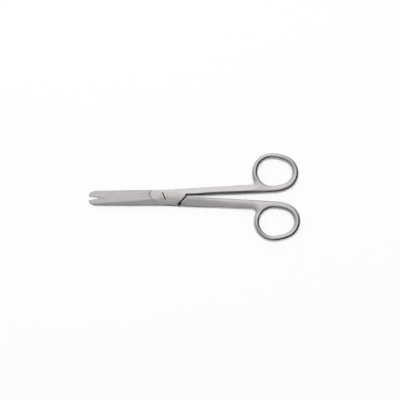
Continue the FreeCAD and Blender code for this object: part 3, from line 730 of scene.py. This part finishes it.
def steel(name, colour, shade_colour, roughness, grain, clouds, scratch):
    """
    Martensitic stainless steel. Grain gives the finishing marks' length, width and depth in mm, clouds
    the size in mm of the faint patches that handling and hand grinding leave, and scratch the bump's
    height in mm. Where the mesh marks painted shade, a dark shade colour with a dull finish is
    painted instead.
    """
    material = bpy.data.materials.new(name)
    material.use_nodes = True
    tree = material.node_tree
    shader = tree.nodes["Principled BSDF"]
    shader.inputs["Metallic"].default_value = 1.0
    place = add_node(tree, "ShaderNodeTexCoord").outputs["Object"]
    lines = add_node(tree, "ShaderNodeMapping", None, {"Vector": place, "Scale": sized(*grain)})
    marks = add_node(tree, "ShaderNodeTexNoise", None,
                     {"Vector": lines.outputs["Vector"], "Scale": 1.0, "Detail": 3.0, "Roughness": 0.65})
    spread = add_node(tree, "ShaderNodeMapping", None, {"Vector": place, "Scale": sized(*clouds)})
    patches = add_node(tree, "ShaderNodeTexNoise", None,
                       {"Vector": spread.outputs["Vector"], "Scale": 1.0, "Detail": 2.0, "Roughness": 0.5})
    # Painted shade: the mesh's mask for the dark shade colour and dull finish
    painted_shade = add_node(tree, "ShaderNodeAttribute", {"attribute_name": "painted_shade"}).outputs["Fac"]

    # Colour: between two tones by 0.6 patches + 0.4 marks, and the dark painted shade where the mesh marks it
    tone = add_node(tree, "ShaderNodeMath", MULTIPLY_ADD, {0: patches.outputs["Fac"], 1: 0.6, 2: 0.2})
    tone = add_node(tree, "ShaderNodeMath", MULTIPLY_ADD, {0: marks.outputs["Fac"], 1: 0.4, 2: tone.outputs[0]})
    tone = add_node(tree, "ShaderNodeMapRange", None,
                    {"Value": tone.outputs[0], "From Min": 0.45, "From Max": 0.95, "To Min": 0.0, "To Max": 1.0})
    metal = add_node(tree, "ShaderNodeMix", {"data_type": "RGBA"},
                     {"Factor": tone.outputs["Result"], 6: linear(colour[0]), 7: linear(colour[1])})
    shaded_colour = add_node(tree, "ShaderNodeMix", {"data_type": "RGBA"},
                       {"Factor": painted_shade, 6: metal.outputs[2], 7: linear(shade_colour)})
    tree.links.new(shaded_colour.outputs[2], shader.inputs["Base Color"])

    # Roughness and bump follow the marks, and the painted shade is dull
    matt = add_node(tree, "ShaderNodeMapRange", None,
                    {"Value": marks.outputs["Fac"], "From Min": 0.3, "From Max": 0.7,
                     "To Min": roughness[0], "To Max": roughness[1]})
    matt = add_node(tree, "ShaderNodeMix", {"data_type": "FLOAT"},
                    {"Factor": painted_shade, "A": matt.outputs["Result"], "B": 0.6})
    tree.links.new(matt.outputs[0], shader.inputs["Roughness"])
    bump = add_node(tree, "ShaderNodeBump", None,
                    {"Height": marks.outputs["Fac"], "Strength": 1.0, "Distance": scratch / 1000})
    tree.links.new(bump.outputs["Normal"], shader.inputs["Normal"])
    return material


# Forged stainless steel, satin finished lengthwise on a fine belt: a soft grey sheen with faint marks
# along shanks and rings. Real belt marks are about 0.03 mm wide, drawn ten times as coarse to show.
# 3B3836 is the colour of the painted shade on the halves
satin_steel = steel("satin_stainless_steel", ("#C6C3C2", "#D2CFCE"), "#3B3836", (0.18, 0.26),
                    (9.0, 0.35, 0.35), (7.0, 4.0, 4.0), 0.003)

# The same steel ground flat along the blade: a slightly darker tone with longer and straighter marks,
# again drawn about ten times as coarse as they are.
# 3B3836 is again the colour of the painted shade
ground_steel = steel("ground_stainless_steel", ("#BEBBBB", "#CECBCB"), "#3B3836", (0.16, 0.28),
                     (22.0, 0.4, 0.4), (12.0, 2.5, 2.5), 0.0035)

# The screw is turned from stainless bar and ground level with the joint: the joint's tone, with a
# shorter grain. Its slot gets a darker painted shade.
screw_steel = steel("turned_stainless_steel", ("#C6C3C2", "#D2CFCE"), "#2C2A28", (0.18, 0.26),
                    (0.6, 0.6, 3.0), (7.0, 4.0, 4.0), 0.002)

for piece, body, node in ((upper_half, "upper", "upper_half"), (lower_half, "lower", "lower_half")):
    piece.data.materials.append(satin_steel)
    piece.data.materials.append(ground_steel)
    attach(piece, body)
    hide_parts(node)
pivot_screw.data.materials.append(screw_steel)
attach(pivot_screw, "lower")
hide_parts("pivot_screw")


# Floor, light and camera, in metres

FLOOR_HALF, FLOOR_Z = 3.0, -0.0002
WORLD_LIGHT = 0.32
DOME_RADIUS, BRIGHT, DARK = 1.5, 1.15, 0.03
SKY, SKY_Y, SKY_ENDS = 0.95, 0.62, 0.3
WALL, WALL_Y, WALL_X, WALL_ENDS = 0.64, 0.5, 0.26, 0.38
KEY_PLACE, KEY_SIZE, KEY_RADIANCE = Vector((-0.15, 0.74, 3.85)), 1.05, 31.8
LENS, SENSOR, VIEW_WIDE = 85, 36, 0.2836
VIEW_X, VIEW_Y, VIEW_Z = 0.0255, -0.0029, 0.0025


def stage_piece(name, points, faces, material):
    """A mesh of given points and faces that isn't part of the object."""
    mesh = bpy.data.meshes.new(name)
    mesh.from_pydata(points, [], faces)
    mesh.materials.append(material)
    made = bpy.data.objects.new(name, mesh)
    bpy.context.scene.collection.objects.link(made)
    return made


# White matt paper, on which only the object's shadow shows
paper = bpy.data.materials.new("white_paper")
paper.use_nodes = True
coat = paper.node_tree.nodes["Principled BSDF"].inputs
coat["Base Color"].default_value = linear("#FCFCFC")
coat["Roughness"].default_value = 0.9
coat["Specular IOR Level"].default_value = 0.2
floor_corners = [(x * FLOOR_HALF, y * FLOOR_HALF, FLOOR_Z) for x, y in ((-1, -1), (1, -1), (1, 1), (-1, 1))]
stage_piece("floor", floor_corners, [(0, 1, 2, 3)], paper)

# The world lights the floor, and is white where the camera, a reflection or glass would see it
world = bpy.data.worlds.new("studio")
bpy.context.scene.world = world
world.use_nodes = True
tree = world.node_tree
rays = add_node(tree, "ShaderNodeLightPath").outputs
seen = add_node(tree, "ShaderNodeMath", MAXIMUM, {0: rays["Is Camera Ray"], 1: rays["Is Glossy Ray"]})
seen = add_node(tree, "ShaderNodeMath", MAXIMUM, {0: seen.outputs[0], 1: rays["Is Transmission Ray"]})
strength = add_node(tree, "ShaderNodeMapRange", None,
                    {"Value": seen.outputs[0], "To Min": WORLD_LIGHT, "To Max": 1.0})
tree.nodes["Background"].inputs["Color"].default_value = (1, 1, 1, 1)
tree.links.new(strength.outputs["Result"], tree.nodes["Background"].inputs["Strength"])

# A dome of studio screens for the metal to reflect, by each point's direction (x, y, z) on it: overhead
# SKY + SKY_Y y - SKY_ENDS |x|, and near the floor WALL + WALL_Y y - WALL_X x - WALL_ENDS |x|, kept
# between the dullest and the brightest screen
turn, rise = np.meshgrid(np.linspace(-math.pi, math.pi, 97), np.linspace(0, math.pi / 2, 33), indexing="ij")
dome_points = np.stack((np.cos(turn) * np.cos(rise), np.sin(turn) * np.cos(rise), np.sin(rise)), -1)
dome_points = DOME_RADIUS * dome_points.reshape(-1, 3)
dome_faces = cells_of(np.arange(turn.size).reshape(turn.shape)).reshape(-1, 4)
dome_glow = bpy.data.materials.new("studio_screens")
dome_glow.use_nodes = True
tree = dome_glow.node_tree
tree.nodes.clear()
kept = {"From Min": DARK, "From Max": BRIGHT, "To Min": DARK, "To Max": BRIGHT}
toward = add_node(tree, "ShaderNodeVectorMath", {"operation": "SCALE"},
                  {"Vector": add_node(tree, "ShaderNodeTexCoord").outputs["Object"], "Scale": 1 / DOME_RADIUS})
toward = add_node(tree, "ShaderNodeSeparateXYZ", None, {0: toward.outputs["Vector"]}).outputs
ends = add_node(tree, "ShaderNodeMath", ABSOLUTE, {0: toward["X"]}).outputs[0]
sky = add_node(tree, "ShaderNodeMath", MULTIPLY_ADD, {0: toward["Y"], 1: SKY_Y, 2: SKY})
sky = add_node(tree, "ShaderNodeMapRange", None, {"Value": sky.outputs[0], **kept})
sky = add_node(tree, "ShaderNodeMath", MULTIPLY_ADD, {0: ends, 1: -SKY_ENDS, 2: sky.outputs["Result"]})
around = add_node(tree, "ShaderNodeMath", MULTIPLY_ADD, {0: toward["X"], 1: -WALL_X, 2: WALL})
around = add_node(tree, "ShaderNodeMath", MULTIPLY_ADD, {0: toward["Y"], 1: WALL_Y, 2: around.outputs[0]})
around = add_node(tree, "ShaderNodeMath", MULTIPLY_ADD, {0: ends, 1: -WALL_ENDS, 2: around.outputs[0]})
around = add_node(tree, "ShaderNodeMapRange", None, {"Value": around.outputs[0], **kept})
lifted = add_node(tree, "ShaderNodeMapRange", {"interpolation_type": "SMOOTHSTEP"},
                  {"Value": toward["Z"], "From Min": 0.5, "From Max": 0.8,
                   "To Min": around.outputs["Result"], "To Max": sky.outputs[0]})
glow = add_node(tree, "ShaderNodeEmission", None, {"Strength": lifted.outputs["Result"]})
add_node(tree, "ShaderNodeOutputMaterial", None, {"Surface": glow.outputs[0]})
dome = stage_piece("studio_screens", dome_points.tolist(), dome_faces.tolist(), dome_glow)
dome.visible_camera = dome.visible_diffuse = dome.visible_shadow = False

# One soft lamp high on the +Y side casts the object's short shadow on the floor
key = bpy.data.lights.new("key", "AREA")
key.shape, key.size, key.energy = "SQUARE", KEY_SIZE, KEY_RADIANCE * math.pi * KEY_SIZE ** 2
holder = bpy.data.objects.new("key", key)
holder.location = KEY_PLACE
holder.rotation_mode = "QUATERNION"
holder.rotation_quaternion = (-KEY_PLACE).to_track_quat("-Z", "Y")
holder.visible_glossy = False
bpy.context.scene.collection.objects.link(holder)

# The camera looks straight down, as the photograph does
camera = bpy.data.cameras.new("camera")
camera.lens, camera.sensor_width = LENS, SENSOR
camera.clip_start, camera.clip_end = 0.01, 10
holder = bpy.data.objects.new("camera", camera)
holder.location = (VIEW_X, VIEW_Y, VIEW_Z + VIEW_WIDE * LENS / SENSOR)
bpy.context.scene.collection.objects.link(holder)
bpy.context.scene.camera = holder
bpy.context.scene.view_settings.view_transform = "Standard"
